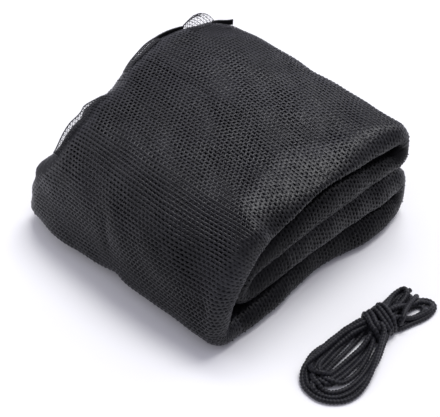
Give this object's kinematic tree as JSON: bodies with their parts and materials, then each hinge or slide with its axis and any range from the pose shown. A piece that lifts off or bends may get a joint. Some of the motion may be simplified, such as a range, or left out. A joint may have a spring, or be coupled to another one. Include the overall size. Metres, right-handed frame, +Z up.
{
  "type": "folded trampoline safety net with its hank of lacing cord",
  "caption": "Black knitted mesh safety net folded into a thick bundle with rounded fold edges, with a tied hank of lacing cord beside it.",
  "frame": {"origin": "under the middle of the folded bundle's box, on the surface it rests on; the hank of cord lies outside that box, towards +X", "axes": "+Z up; the stacked rounded fold edges face +X, the smooth wrapped front faces -Y, the two fold ends face +Y, and the cut edges with their binding face -X"},
  "size_m": [0.3971, 0.2808, 0.1259],
  "materials": {
    "netting": "soft knitted polyethylene mesh, charcoal black, low sheen",
    "webbing": "woven polyester binding, black, slight sheen",
    "cord": "braided polyester cord, charcoal black, matt"
  },
  "bodies": {
    "root": {"folded_netting": "netting", "loose_layer_front": "netting", "loose_layer_back": "netting", "edge_binding": "webbing", "strap_end": "webbing", "lacing_cord": "cord"}
  },
  "joints": []
}
